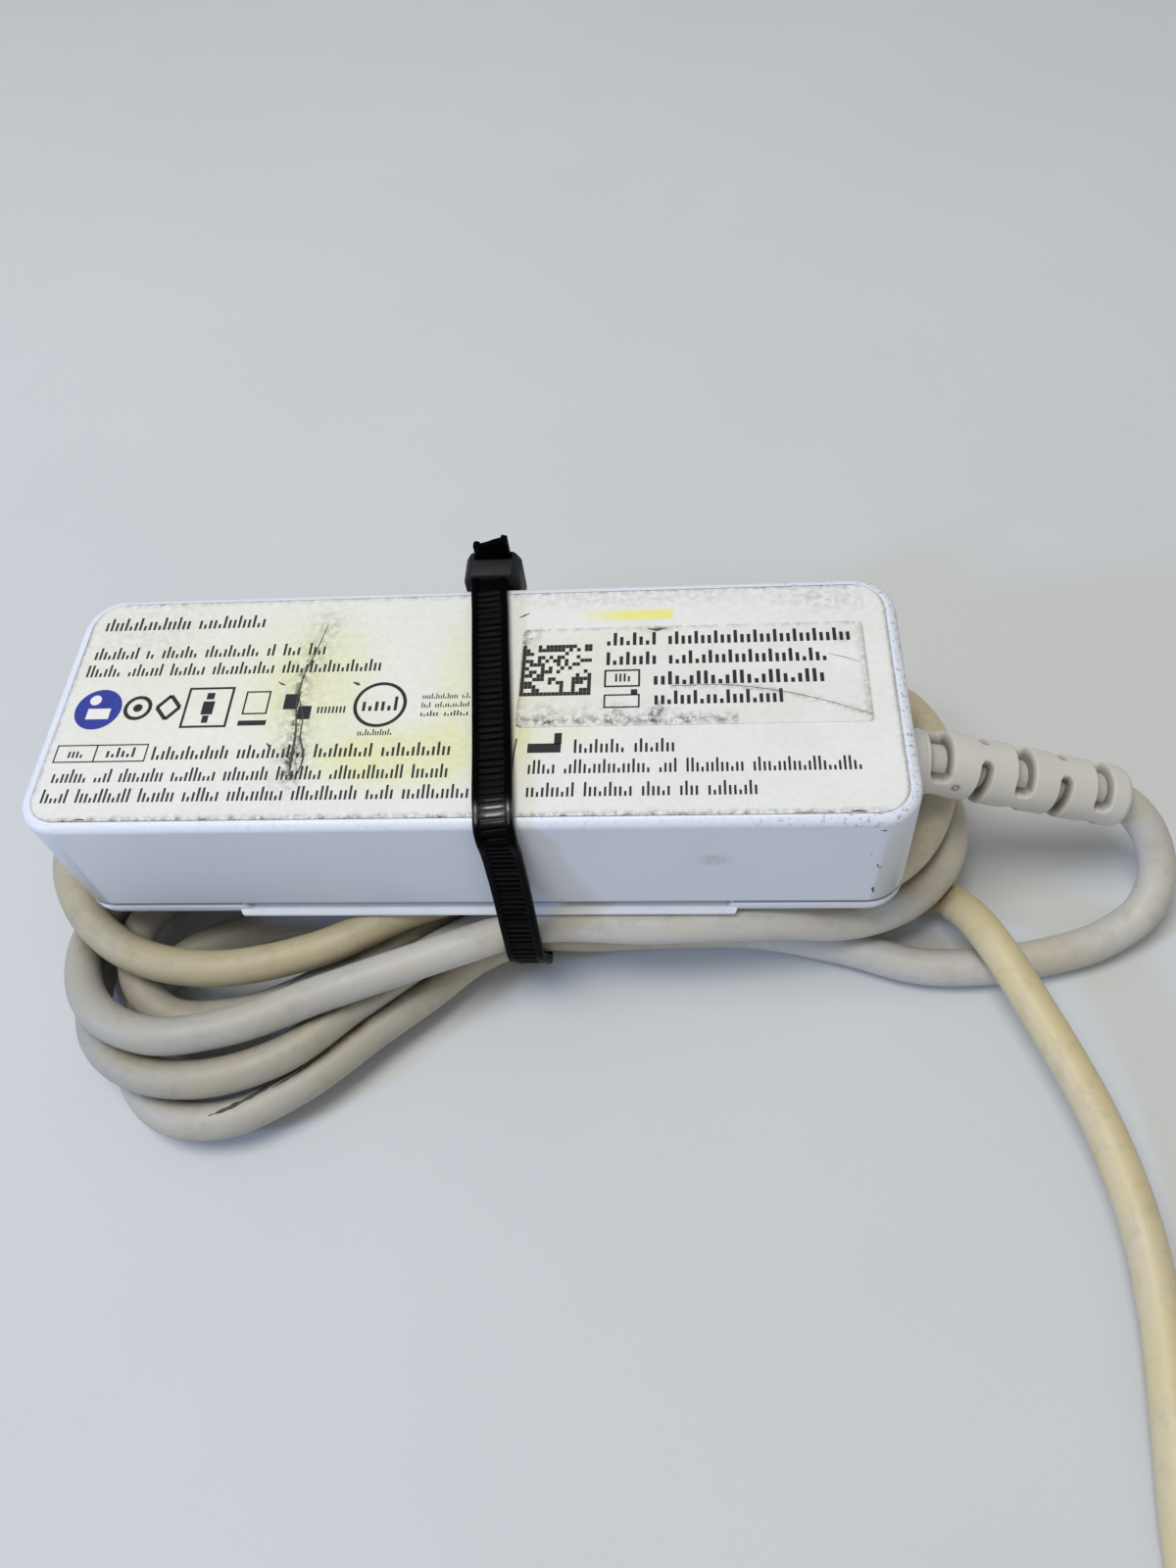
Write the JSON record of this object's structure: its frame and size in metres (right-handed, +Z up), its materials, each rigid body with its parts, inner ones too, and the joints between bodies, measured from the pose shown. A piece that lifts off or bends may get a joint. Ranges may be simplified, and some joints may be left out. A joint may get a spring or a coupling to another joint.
{
  "type": "intraoral scanner interface box with bundled lead",
  "caption": "Small rectangular white interface box of a dental scanner, its lead wound in a flat hank under the case and held by a cable tie, with a slotted strain relief.",
  "frame": {"origin": "On the surface that the bundle lies on, under the centre of the case.", "axes": "+X along the case towards the strain relief, +Y across the case to the side with the tie's head, +Z up, out of the label face."},
  "size_m": [0.1511, 0.1686, 0.0427],
  "materials": {
    "white_abs": "fine moulded satin, slightly scuffed at the edges",
    "label_film": "matt film, yellowed in patches",
    "serial_film": "matt film, grimy at the edges",
    "grey_tpe": "soft moulded, matt",
    "grey_lead": "smooth jacket, yellowed and grimy in the creases",
    "black_nylon": "semi-gloss moulded",
    "green_board": "solder-resist gloss",
    "black_plastic": "moulded matt",
    "ivory_nylon": "moulded satin",
    "nickel": "bright plated",
    "steel": "zinc plated",
    "red_wire": "smooth",
    "black_wire": "smooth",
    "green_wire": "smooth",
    "white_wire": "smooth"
  },
  "bodies": {
    "root": {"label_side_shell": "white_abs", "cover_shell": "white_abs", "rating_label": "label_film", "serial_label": "serial_film", "strain_relief": "grey_tpe", "cable_tie": "black_nylon", "case_screw_left_front": "steel", "case_screw_left_back": "steel", "case_screw_right_front": "steel", "case_screw_right_back": "steel", "main_board": "green_board", "board_screw_left_front": "steel", "board_screw_left_back": "steel", "board_screw_right_front": "steel", "board_screw_right_back": "steel", "main_chip": "black_plastic", "power_inductor": "black_plastic", "filter_capacitor": "ivory_nylon", "crystal_can": "nickel", "bulk_capacitor_front": "nickel", "bulk_capacitor_back": "nickel", "power_socket_housing": "black_plastic", "power_socket_pin": "nickel", "data_socket_shell": "nickel", "data_socket_tongue": "black_plastic", "board_header": "ivory_nylon", "wire_plug": "ivory_nylon", "lead_inner_end": "grey_lead", "lead_clamp": "black_nylon", "clamp_screw_front": "steel", "clamp_screw_back": "steel", "lead_wire_red": "red_wire", "lead_wire_black": "black_wire", "lead_wire_green": "green_wire", "lead_wire_white": "white_wire", "lead_near_stretch": "grey_lead", "lead_hank": "grey_lead", "lead_far_stretch": "grey_lead", "lead_rest_coil": "grey_lead", "lead_end_stretch": "grey_lead", "far_plug_relief": "grey_tpe", "far_plug_body": "black_plastic", "far_plug_collar": "nickel", "far_plug_sleeve": "nickel", "far_plug_insert": "black_plastic"}
  },
  "joints": []
}
